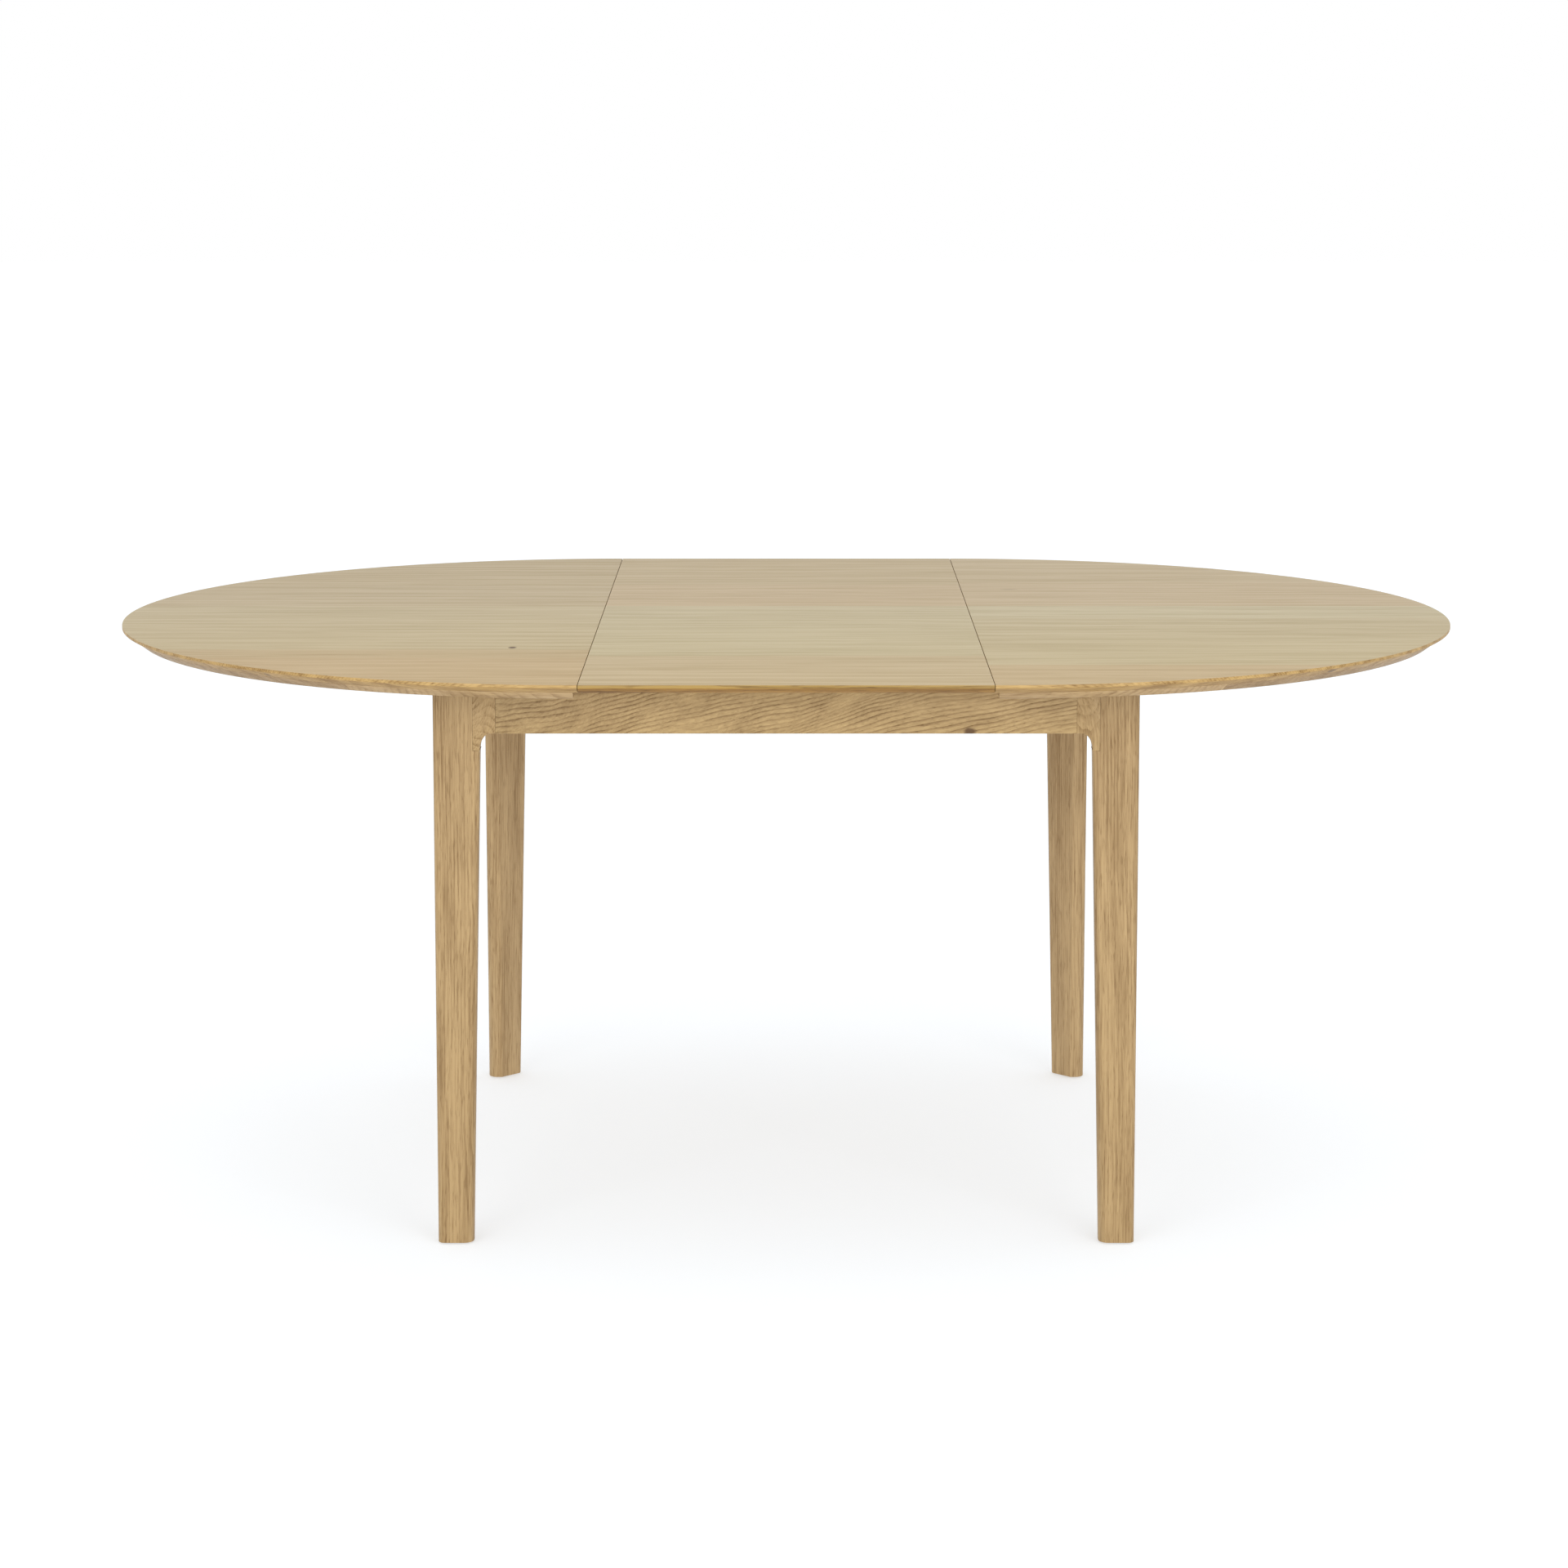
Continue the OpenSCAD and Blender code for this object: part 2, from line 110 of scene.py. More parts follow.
def make_floor():
    """A broad, pale, faintly glowing floor."""
    bpy.ops.object.select_all(action="DESELECT")
    bpy.ops.mesh.primitive_plane_add(size=FLOOR_SIZE, location=(0, 0, 0))
    floor = bpy.context.object
    floor.name = "floor"
    material = bpy.data.materials.new("floor_sweep")
    material.use_nodes = True
    shader = material.node_tree.nodes["Principled BSDF"]
    shader.inputs["Base Color"].default_value = FLOOR_TONE
    shader.inputs["Roughness"].default_value = 0.9
    shader.inputs["Emission Color"].default_value = WHITE
    shader.inputs["Emission Strength"].default_value = FLOOR_GLOW
    floor.data.materials.append(material)


def make_world():
    """An even white sky."""
    world = bpy.data.worlds.new("studio")
    bpy.context.scene.world = world
    world.use_nodes = True
    sky = world.node_tree.nodes["Background"]
    sky.inputs["Color"].default_value = WHITE
    sky.inputs["Strength"].default_value = 1.0


def soft_panel(name, place, aim, size, power):
    """A square area light at a place, facing a point."""
    data = bpy.data.lights.new(name, "AREA")
    data.size = size
    data.energy = power
    lamp = bpy.data.objects.new(name, data)
    lamp.location = place
    lamp.rotation_euler = (Vector(aim) - Vector(place)).to_track_quat("-Z", "Y").to_euler()
    bpy.context.scene.collection.objects.link(lamp)


PANEL_SIZE = 2.4
PANEL_OUT, PANEL_BACK, PANEL_UP = 2.3, 4.4, 1.3
PANEL_AIM = (0, 0, 0.45)
LEFT_POWER, RIGHT_POWER = 62, 74

make_floor()
make_world()
for name, side, power in (("front_left", -1, LEFT_POWER), ("front_right", 1, RIGHT_POWER)):
    soft_panel(name, (side * PANEL_OUT, -PANEL_BACK, PANEL_UP), PANEL_AIM, PANEL_SIZE, power)
bpy.context.scene.view_settings.view_transform = "Standard"
print("soft panels", LEFT_POWER, "and", RIGHT_POWER, "watts")

# %% [markdown]
# Sizes that several pieces share are read from the CAD nodes, so that each new piece lands on
# the one it stands for.

# %% Shared sizes
MM = 0.001
leaf_low, leaf_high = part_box("leaf_panel")
half_low, half_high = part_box("right_panel")
rim_low, rim_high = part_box("right_rim_3")
apron_low, apron_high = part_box("apron_front")
leg_low, leg_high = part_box("leg_front_right")
ears_low, ears_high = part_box("ears_front_right")
block_low, block_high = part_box("right_rim_1")

# The heights of the face, of the boards' underside and of the rim's underside.
TOP_Z = leaf_high.z
UNDER_Z = leaf_low.z
LOWER_Z = rim_low.z
# The round ends: their radius, the distance out to their centres, and the half's sawn face.
END_R = half_high.y
SEAM_X = half_high.x - END_R
SEAM_FACE = half_low.x
# The edge is upright for EDGE_H, then goes in by BEVEL_IN on the board and again on the rim.
BEVEL_IN = 12 * MM
EDGE_H = 4 * MM
# The rim starts at SETBACK_X, clear of the seam.
SETBACK_X = block_low.x
RIM_W = 61 * MM
RIM_IN_R = END_R - 2 * BEVEL_IN - RIM_W
# How many sides a whole turn has, on the boards and on the rim alike, so that the two match.
ROUND_SIDES = 240
# The base's outer corner, and the aprons' thickness and heights.
BASE_X = leg_high.x
BASE_Y = -leg_low.y
APRON_T = apron_high.y - apron_low.y
APRON_TOP = apron_high.z
APRON_Z = apron_low.z
# Widths in from the corner, from the top down: post and ear, post, leg at the knee, and foot.
HEAD_W = BASE_X - apron_high.x
POST_W = 50 * MM
KNEE_W = leg_high.x - leg_low.x
FOOT_W = 45 * MM
KNEE_Z = ears_low.z
print("seam", SEAM_X, "end radius", END_R, "base", BASE_X, BASE_Y, "knee", KNEE_Z, KNEE_W)

# %% [markdown]
# Every shape below is started from a primitive and shaped in edit mode. These helpers start a
# clean selection, pick faces and edges by their place, and finish a piece: its place goes into
# its mesh, its edges get a small arris, and its rounded faces shade smoothly.


# %% Modelling helpers
def deselect():
    """Leaves nothing selected."""
    bpy.ops.object.select_all(action="DESELECT")


def begin(name):
    """Names the primitive just added and opens it in edit mode."""
    piece = bpy.context.object
    piece.name = name
    piece.data.name = name
    bpy.ops.object.mode_set(mode="EDIT")
    return piece


def pick(piece, kind, test):
    """Selects the vertices, edges or faces whose centre, in world space, passes a test."""
    bpy.ops.mesh.select_all(action="DESELECT")
    bpy.ops.object.mode_set(mode="OBJECT")
    bpy.context.tool_settings.mesh_select_mode = (kind == "VERT", kind == "EDGE", kind == "FACE")
    mesh, world = piece.data, piece.matrix_world
    spots = {"VERT": mesh.vertices, "EDGE": mesh.edges, "FACE": mesh.polygons}[kind]
    for spot in spots:
        if kind == "VERT":
            centre = spot.co
        elif kind == "EDGE":
            a, b = (mesh.vertices[i].co for i in spot.vertices)
            centre = (a + b) / 2
        else:
            centre = spot.center
        spot.select = bool(test(world @ centre))
    bpy.ops.object.mode_set(mode="EDIT")


def settle(piece):
    """Leaves edit mode and puts the object's place and size into its mesh."""
    if bpy.context.mode == "EDIT_MESH":
        bpy.ops.object.mode_set(mode="OBJECT")
    deselect()
    piece.select_set(True)
    bpy.context.view_layer.objects.active = piece
    bpy.ops.object.transform_apply(location=True, rotation=True, scale=True)
    return piece


def use_modifier(piece, kind, **settings):
    """Adds a modifier to a settled piece and applies it."""
    deselect()
    piece.select_set(True)
    bpy.context.view_layer.objects.active = piece
    made = piece.modifiers.new(kind.lower(), kind)
    for key, value in settings.items():
        setattr(made, key, value)
    bpy.ops.object.modifier_apply(modifier=made.name)


def soften(piece, width, segments=2, angle=28):
    """Rounds every sharp edge a little and shades the piece smoothly between them."""
    use_modifier(piece, "BEVEL", width=width, segments=segments, limit_method="ANGLE",
                 angle_limit=math.radians(angle))
    bpy.ops.object.shade_smooth_by_angle(angle=math.radians(30))


def cube_at(name, low, high):
    """A cube primitive stretched to a box, settled."""
    deselect()
    low, high = Vector(low), Vector(high)
    bpy.ops.mesh.primitive_cube_add(size=1, location=(low + high) / 2)
    piece = bpy.context.object
    piece.scale = high - low
    piece.name = name
    piece.data.name = name
    return settle(piece)


def edit(piece):
    """Makes a settled piece the only selected one and opens it."""
    deselect()
    piece.select_set(True)
    bpy.context.view_layer.objects.active = piece
    bpy.ops.object.mode_set(mode="EDIT")
    bpy.ops.mesh.select_all(action="SELECT")


def cut(place, normal, keep_all=False):
    """Cuts the open piece with a plane. Unless keep_all, what lies behind the plane goes."""
    bpy.ops.mesh.select_all(action="SELECT")
    bpy.ops.mesh.bisect(plane_co=place, plane_no=normal, use_fill=not keep_all,
                        clear_inner=not keep_all)


def boolean(piece, tool, how):
    """Joins a tool piece to a piece or cuts it away, and removes the tool."""
    use_modifier(piece, "BOOLEAN", object=tool, operation=how, solver="EXACT")
    bpy.data.objects.remove(tool)


def paint(piece, material):
    """Gives a piece one material."""
    piece.data.materials.clear()
    piece.data.materials.append(material)


def stand_for(piece, node, body):
    """Says which CAD node a piece replaces and what it moves with."""
    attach(piece, body)
    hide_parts(node)


# %% [markdown]
# Sawn oak shows four things at different sizes, and each is one layer here. Growth rings cross the
# board as thin dark lines, arched where the board was cut near the tree's middle and nearly
# straight further out. Long soft streaks run along it, fine fibre lines run between them, and open
# pores leave short dark dashes. All are measured in the object's own metres, along and across the
# grain, so that a line goes on round an edge as it does in solid timber.


# %% Oak
def srgb(red, green, blue):
    """A screen colour, 0 to 255, as linear light."""
    return tuple(((c / 255 + 0.055) / 1.055) ** 2.4 for c in (red, green, blue)) + (1,)


WOOD_BASE = 0.22
STRIP_SHIFT_ALONG = 9.0
STRIP_SHIFT_ACROSS = 0.7
RING_WOBBLE = 1.3
KNOT_TONE = srgb(92, 66, 36)
LAST_STOP = 0.999
LINE_DEPTH = 0.0003


def oak(name, pale, deep, grain="X", pith=(0.0, 0.5), rings=300.0, seed=0.0, lean=(0, 0, 0),
        lines=0.45, streaks=0.3, fibres=0.25, pores=0.35, wander=0.012, strips=None, knots=(),
        roughness=0.5, gloss=0.35, relief=0.2):
    """An oak finish.

    pale and deep are the lightest and darkest wood; grain is the axis along the grain; pith is
    where the tree's middle lies across it, and rings is how many there are to the metre. lean is
    the grain's slope along the board, its bend, and the place where the bend turns. lines,
    streaks, fibres and pores are the strength of each layer, and wander is how far, in metres, the
    lines stray. strips gives the boards that a panel is glued from: each one's first edge, tint
    and shift of pattern. knots gives each knot's centre, its half sizes and its depth of tone.
    """
    material = bpy.data.materials.new(name)
    material.use_nodes = True
    tree = material.node_tree
    shader = tree.nodes["Principled BSDF"]

    def add(kind, inputs=None, **settings):
        return node_of(tree, kind, inputs, **settings)

    def maths(how, a, b=0.0, c=None, clamp=False):
        inputs = {0: a, 1: b}
        if c is not None:
            inputs[2] = c
        return add("ShaderNodeMath", inputs, operation=how, use_clamp=clamp).outputs[0]

    def between(value, low, high, to_low=0.0, to_high=1.0):
        return add("ShaderNodeMapRange", {"Value": value, "From Min": low, "From Max": high,
                                          "To Min": to_low, "To Max": to_high}).outputs[0]

    def blend(factor, a, b, how="MIX"):
        made = add("ShaderNodeMix", data_type="RGBA", blend_type=how)
        for key, value in ((0, factor), (6, a), (7, b)):
            if isinstance(value, bpy.types.NodeSocket):
                tree.links.new(value, made.inputs[key])
            else:
                made.inputs[key].default_value = value
        return made.outputs[2]

    place = add("ShaderNodeSeparateXYZ",
                {0: add("ShaderNodeTexCoord").outputs["Object"]}).outputs
    order = {"X": "XYZ", "Y": "YXZ", "Z": "ZXY"}[grain]
    u, v, w = (place["XYZ".index(axis)] for axis in order)
    shift = seed
    if strips:
        ramp = add("ShaderNodeValToRGB", {"Fac": between(v, -1.0, 1.0)})
        ramp.color_ramp.interpolation = "CONSTANT"
        for index, (edge, tint, moved) in enumerate(strips):
            stops = ramp.color_ramp.elements
            stop = stops[index] if index < 2 else stops.new(LAST_STOP)
            stop.position = (edge + 1) / 2
            stop.color = (*tint, moved)
        shift = maths("MULTIPLY_ADD", ramp.outputs["Alpha"], STRIP_SHIFT_ALONG, seed)
        v = maths("MULTIPLY_ADD", ramp.outputs["Alpha"], STRIP_SHIFT_ACROSS, v)
    slope, bend, middle = lean
    if slope or bend:
        far = maths("SUBTRACT", u, middle)
        rise = maths("MULTIPLY", far, maths("MULTIPLY_ADD", far, bend, slope))
        v, w = maths("ADD", v, rise), maths("ADD", w, rise)

    def noise(along, wide, detail=1.0, rough=0.5):
        where = add("ShaderNodeCombineXYZ", {
            "X": maths("MULTIPLY_ADD", u, along, shift), "Y": maths("MULTIPLY", v, wide),
            "Z": maths("MULTIPLY_ADD", w, wide, seed * 1.3)})
        return add("ShaderNodeTexNoise", {"Vector": where.outputs[0], "Scale": 1.0,
                                          "Detail": detail, "Roughness": rough}).outputs["Fac"]

    # The whole pattern strays a little from side to side along the board.
    sway = maths("SUBTRACT", noise(3.5, 9.0, 2.0), 0.5)
    v = maths("MULTIPLY_ADD", sway, wander, v)
    w = maths("MULTIPLY_ADD", sway, wander, w)

    # Growth rings: the distance from the tree's middle, and a dark line that fades outwards.
    dv, dw = maths("SUBTRACT", v, pith[0]), maths("SUBTRACT", w, pith[1])
    radius = maths("SQRT", maths("ADD", maths("MULTIPLY", dv, dv), maths("MULTIPLY", dw, dw)))
    wobble = maths("MULTIPLY", noise(9.0, 45.0, 2.0), RING_WOBBLE)
    ring = maths("FRACT", maths("MULTIPLY_ADD", radius, rings, wobble))
    ring_line = maths("MULTIPLY", between(ring, 0.0, 0.5, 1.0, 0.0), between(ring, 0.9, 1.0, 1.0, 0.6))
    strong = between(noise(7.0, 45.0), 0.35, 0.62, 0.3, 1.0)
    tone = maths("MULTIPLY_ADD", maths("MULTIPLY", ring_line, strong), lines, WOOD_BASE)
    # Streaks, fibres and pores, from the broadest layer to the finest.
    tone = maths("ADD", tone, between(noise(2.6, 70.0, 3.0, 0.6), 0.3, 0.7, -streaks, streaks))
    tone = maths("ADD", tone, between(noise(13.0, 420.0, 2.0), 0.3, 0.7, -fibres, fibres))
    dash = between(noise(55.0, 800.0), 0.56, 0.68)
    tone = maths("MULTIPLY_ADD", dash, pores, tone, clamp=True)
    colour = blend(tone, pale, deep)
    if strips:
        colour = blend(1.0, colour, ramp.outputs["Color"], "MULTIPLY")
    for centre, size, depth in knots:
        reach = 0.0
        for axis, spot, half_width in zip(place, centre, size):
            step = maths("DIVIDE", maths("SUBTRACT", axis, spot), half_width)
            reach = maths("ADD", reach, maths("MULTIPLY", step, step))
        reach = maths("MULTIPLY_ADD", noise(90.0, 260.0), 0.9, reach)
        colour = blend(maths("MULTIPLY", between(reach, 0.7, 1.5, 1.0, 0.0), depth), colour,
                       KNOT_TONE)
    tree.links.new(colour, shader.inputs["Base Color"])
    tree.links.new(between(tone, 0.0, 1.0, roughness - 0.06, roughness + 0.1),
                   shader.inputs["Roughness"])
    shader.inputs["Specular IOR Level"].default_value = gloss
    # Dark lines are low, so the height is turned over by a negative distance.
    bump = add("ShaderNodeBump", {"Height": tone, "Strength": relief, "Distance": -LINE_DEPTH})
    tree.links.new(bump.outputs[0], shader.inputs["Normal"])
    print("oak", name, len(tree.nodes), "nodes")
    return material


# %% [markdown]
# Each of the top's three boards is glued from planks that run along the table. A plank is one
# stretch across the width, with its own tint and its own place in the pattern, so the planks
# meet at straight glue lines. The top is paler and greyer than the rest, partly as soaped oak is
# and partly as painted sheen, which stands in for the white glint off the top.

# %% Top finish
STRIPS = {
    "left": [(-1.0, (1.02, 0.95, 0.92), 0.10), (-0.418, (1.0, 0.955, 0.93), 0.90),
             (-0.346, (1.02, 1.045, 1.08), 0.45), (0.082, (0.975, 0.96, 0.96), 0.70),
             (0.300, (0.97, 0.95, 0.93), 0.25)],
    "leaf": [(-1.0, (1.03, 1.02, 1.06), 0.35), (-0.400, (1.04, 1.10, 1.17), 0.80),
             (0.085, (1.04, 0.99, 0.99), 0.15), (0.318, (1.0, 0.975, 0.95), 0.60)],
    "right": [(-1.0, (1.02, 0.975, 0.975), 0.55), (-0.480, (1.03, 1.07, 1.12), 0.20),
              (-0.040, (1.06, 1.13, 1.22), 0.20), (0.085, (1.04, 1.0, 1.01), 0.85),
              (0.350, (1.03, 1.01, 1.02), 0.40)],
}
# Both top tones are partly painted sheen: paler and greyer, for the white glint off the top.
TOP_PALE_WITH_SHEEN, TOP_DEEP_WITH_SHEEN = srgb(184, 165, 125), srgb(160, 140, 100)
TOP_KNOTS = {"left": [((-0.3500, -0.3240, 0.75), (0.0058, 0.0095, 0.01), 1.0)], "leaf": [],
             "right": [((0.318, 0.268, 0.75), (0.014, 0.005, 0.01), 0.35)]}
top_finish = {
    side: oak(f"oak_top_{side}", TOP_PALE_WITH_SHEEN, TOP_DEEP_WITH_SHEEN, "X", pith=(0.1, 0.25), rings=170, seed=seed,
              lines=0.10, streaks=0.36, fibres=0.20, pores=0.06, wander=0.006, strips=STRIPS[side],
              knots=TOP_KNOTS[side], roughness=0.52, relief=0.08)
    for side, seed in (("left", 1.0), ("leaf", 4.0), ("right", 9.0))
}
print("top boards glued from", {side: len(strips) for side, strips in STRIPS.items()}, "strips")

# %% [markdown]
# The upright edge is more golden than the face, as oiled oak is. The faces that look down, the
# slanted face under it and the underside, take a browner copy of the edge's oak: painted shade.
# The base is one warm oak, and a seed for each piece moves the pattern in its timber.

# %% Edge and base finishes
EDGE_KNOTS = [((0.677, -0.476, 0.742), (0.009, 0.009, 0.004), 0.8),
              ((-0.640, -0.508, 0.741), (0.007, 0.007, 0.004), 0.7)]


def edge_oak(name, pale, deep, seed, **extra):
    """The golden oak of an edge."""
    return oak(name, srgb(*pale), srgb(*deep), "X", pith=(0.0, 1.0), rings=480, seed=seed,
               lines=0.5, streaks=0.4, wander=0.006, knots=EDGE_KNOTS, **extra)


edge_finish = {
    "leaf": edge_oak("oak_edge_leaf", (154, 124, 62), (86, 56, 16), 3.0),
    # The bevel finishes are darker, browner copies of the edge finishes: painted shade for faces that
    # look down.
    "leaf_bevel": edge_oak("oak_bevel_leaf_painted_shade", (160, 117, 40), (88, 54, 8), 8.0),
    "half": edge_oak("oak_edge_half", (178, 146, 90), (116, 84, 38), 6.0),
    "half_bevel": edge_oak("oak_bevel_half_painted_shade", (172, 138, 82), (112, 80, 38), 11.0),
}


def base_oak(name, grain, seed, pale=(162, 134, 94), deep=(118, 90, 54), **extra):
    """The warmer oak of the base, with its own piece of timber for each seed."""
    return oak(name, srgb(*pale), srgb(*deep), grain, seed=seed, **extra)


print("edge finishes", sorted(edge_finish))


# %% [markdown]
# A half of the top starts as a disc of the underside's size. It is extruded up and out to make
# the bevel, then straight up to make the thin upright edge, and sawn along the seam.


# %% Top halves
TOP_ARRIS = 0.25 * MM


def make_half(side, sign):
    """One rounded half of the top, from its underside up."""
    deselect()
    bpy.ops.mesh.primitive_circle_add(vertices=ROUND_SIDES, radius=END_R - BEVEL_IN,
                                      fill_type="NGON", location=(sign * SEAM_X, 0, UNDER_Z))
    piece = begin(f"top_{side}")
    bpy.ops.mesh.select_all(action="SELECT")
    flare = END_R / (END_R - BEVEL_IN)
    bpy.ops.mesh.extrude_region_move(
        TRANSFORM_OT_translate={"value": (0, 0, TOP_Z - EDGE_H - UNDER_Z)})
    bpy.ops.transform.resize(value=(flare, flare, 1), center_override=(sign * SEAM_X, 0, 0))
    bpy.ops.mesh.extrude_region_move(TRANSFORM_OT_translate={"value": (0, 0, EDGE_H)})
    cut((sign * SEAM_FACE, 0, 0), (sign, 0, 0))
    bpy.ops.mesh.select_all(action="SELECT")
    bpy.ops.mesh.normals_make_consistent(inside=False)
    settle(piece)
    soften(piece, TOP_ARRIS)
    dress_top(piece, top_finish[side], "half")
    stand_for(piece, f"{side}_panel", f"{side}_top")
    return piece


def dress_top(piece, face_finish, board):
    """The face takes the pale finish and the upright edge a golden one. The faces that look down
    take a darker copy of the edge's oak, as painted shade.
    """
    paint(piece, face_finish)
    piece.data.materials.append(edge_finish[board])
    piece.data.materials.append(edge_finish[f"{board}_bevel"])
    for polygon in piece.data.polygons:
        up = polygon.normal.z
        # Faces that look down take the darker copy, as painted shade.
        polygon.material_index = 0 if up > 0.7 else 1 if up > -0.3 else 2


for side, sign in (("left", -1), ("right", 1)):
    half = make_half(side, sign)
    print(half.name, len(half.data.polygons), "faces")

# %% [markdown]
# The leaf has the same edge on its two short ends only. A block is cut across at the height
# where the bevel starts, and its lower ends are drawn in.


# %% Leaf
def make_leaf():
    """The straight leaf between the halves."""
    piece = cube_at("leaf", leaf_low, leaf_high)
    edit(piece)
    cut((0, 0, TOP_Z - EDGE_H), (0, 0, 1), keep_all=True)
    pick(piece, "VERT", lambda p: p.z < UNDER_Z + MM)
    bpy.ops.transform.resize(value=(1, (END_R - BEVEL_IN) / END_R, 1), center_override=(0, 0, 0))
    settle(piece)
    soften(piece, TOP_ARRIS)
    dress_top(piece, top_finish["leaf"], "leaf")
    stand_for(piece, "leaf_panel", "leaf")
    return piece


leaf = make_leaf()
print(leaf.name, len(leaf.data.polygons), "faces")

# %% [markdown]
# Under each half a rim of five oak blocks is glued end to end and shaped to carry the bevel on.
# A block's section is drawn as one face and spun round the end's centre, and the blocks beside
# the seam are sawn off short of it.

# %% Rim blocks
RIM_END_ANGLE = math.radians(27)
RIM_MID_ANGLE = (math.pi - 2 * RIM_END_ANGLE) / 3
RIM_ARRIS = 0.35 * MM
SPIN_STEP = 360 / ROUND_SIDES


def rim_section():
    """A rim block's section, as four distances out from the end's centre, with their heights."""
    return [(RIM_IN_R, LOWER_Z), (END_R - 2 * BEVEL_IN, LOWER_Z), (END_R - BEVEL_IN, UNDER_Z),
            (RIM_IN_R, UNDER_Z)]


def make_rim_block(side, sign, number):
    """One block of a half's rim, counted from the front seam to the back one."""
    start = 0 if number == 1 else RIM_END_ANGLE + (number - 2) * RIM_MID_ANGLE
    turn = RIM_END_ANGLE if number in (1, 5) else RIM_MID_ANGLE
    centre = Vector((sign * SEAM_X, 0, 0))
    deselect()
    bpy.ops.mesh.primitive_plane_add(size=1, location=(0, 0, 0))
    piece = begin(f"rim_{side}_{number}")
    bpy.ops.object.mode_set(mode="OBJECT")
    loop = [piece.data.vertices[i] for i in piece.data.polygons[0].vertices]
    for vertex, (out, height) in zip(loop, rim_section()):
        vertex.co = centre + Vector((sign * math.sin(start) * out, -math.cos(start) * out, height))
    edit(piece)
    bpy.ops.mesh.spin(steps=round(math.degrees(turn) / SPIN_STEP), angle=-sign * turn,
                      center=centre, axis=(0, 0, 1))
    bpy.ops.mesh.select_all(action="SELECT")
    bpy.ops.mesh.remove_doubles(threshold=1e-5)
    if number in (1, 5):
        cut((sign * SETBACK_X, 0, 0), (sign, 0, 0))
    bpy.ops.mesh.select_all(action="SELECT")
    bpy.ops.mesh.normals_make_consistent(inside=False)
    settle(piece)
    soften(piece, RIM_ARRIS, 1)
    paint(piece, block_finish[side, number])
    stand_for(piece, f"{side}_rim_{number}", f"{side}_top")
    return piece


RIM_TONES = {
    1: ((176, 146, 102), (132, 102, 62)), 2: ((160, 130, 88), (112, 84, 48)),
    3: ((180, 152, 108), (138, 108, 66)), 4: ((166, 136, 92), (122, 92, 54)),
    5: ((174, 146, 102), (130, 100, 60))}
block_finish = {
    (side, n): oak(f"oak_rim_{side}_{n}", *(srgb(*tone) for tone in RIM_TONES[n]), "X",
                   pith=(0.2 * n - 0.5, 1.2 - 0.15 * n), rings=300 + 30 * n,
                   seed=5.0 + 2.3 * n + (7 if side == "left" else 0),
                   lean=((0.06 if side == "left" else -0.04) * (n - 2), 0, 0), lines=0.5)
    for side in ("left", "right") for n in range(1, 6)
}
for side, sign in (("left", -1), ("right", 1)):
    for number in range(1, 6):
        made = make_rim_block(side, sign, number)
    print("rim", side, len(made.data.polygons), "faces in the last block")

# %% [markdown]
# The front and back aprons are plain boards. The end aprons are notched at the top for the
# runners, and the notches are taken from where the runners pass.


# %% Aprons
RAIL_ARRIS = 0.6 * MM
NOTCH_SIDE = 2 * MM
NOTCH_UNDER = 1.5 * MM
# The front board has one small knot on its lower edge, and a browner stretch at its left end.
RAIL_KNOTS = {"front": [((0.2300, apron_low.y, APRON_Z + 3 * MM), (0.009, 0.01, 0.0055), 1.0),
                        ((-0.34, apron_low.y, APRON_Z), (0.15, 0.1, 0.3), 0.13)]}


def make_long_apron(where, seed):
    """The front or back apron."""
    low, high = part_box(f"apron_{where}")
    piece = cube_at(f"rail_{where}", low, high)
    soften(piece, RAIL_ARRIS)
    paint(piece, base_oak(f"oak_rail_{where}", "X", seed, pale=(181, 153, 105), deep=(106, 78, 40),
                          pith=(low.y + 0.05, 1.10), rings=185, lean=(-0.10, 0.26, 0.40),
                          wander=0.045, lines=0.62, streaks=0.16, fibres=0.14, pores=0.2,
                          knots=RAIL_KNOTS.get(where, ())))
    stand_for(piece, f"apron_{where}", "base")


def make_end_apron(side, seed):
    """An end apron, notched where the runners pass."""
    low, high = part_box(f"apron_{side}")
    piece = cube_at(f"rail_{side}", low, high)
    for where in ("front", "back"):
        near = [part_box(f"{half}_runner_{where}") for half in ("left", "right")]
        notch_low = min(box[0].y for box in near) - NOTCH_SIDE
        notch_high = max(box[1].y for box in near) + NOTCH_SIDE
        floor = near[0][0].z - NOTCH_UNDER
        tool = cube_at("notch", (low.x - 1, notch_low, floor), (high.x + 1, notch_high, TOP_Z))
        boolean(piece, tool, "DIFFERENCE")
    soften(piece, RAIL_ARRIS)
    paint(piece, base_oak(f"oak_rail_{side}", "Y", seed, pale=(172, 144, 102), deep=(122, 94, 56),
                          pith=(low.x + 0.06, 0.86), rings=240, lean=(0.05, 0.12, 0.1),
                          wander=0.03, lines=0.85, streaks=0.18, fibres=0.16, pores=0.25))
    stand_for(piece, f"apron_{side}", "base")


for where, seed in (("front", 2.0), ("back", 6.0)):
    make_long_apron(where, seed)
for side, seed in (("left", 11.0), ("right", 14.0)):
    make_end_apron(side, seed)
print("aprons", APRON_T, "thick,", APRON_TOP - APRON_Z, "high")

# %% [markdown]
# A leg is square in plan with its inner corner sawn off at 45 degrees, and it tapers on its two
# inner sides only, so that its outer corner stands plumb. A block is sawn across its diagonal and
# its foot is drawn in. The outer corner has one round all the way down. The far edge of each outer
# face has a round that opens towards the floor, so it is bevelled at the knee's size and its lower
# end is scaled up. The edges of the sawn face stay crisp, and its top slopes in to the post, which
# is joined on.

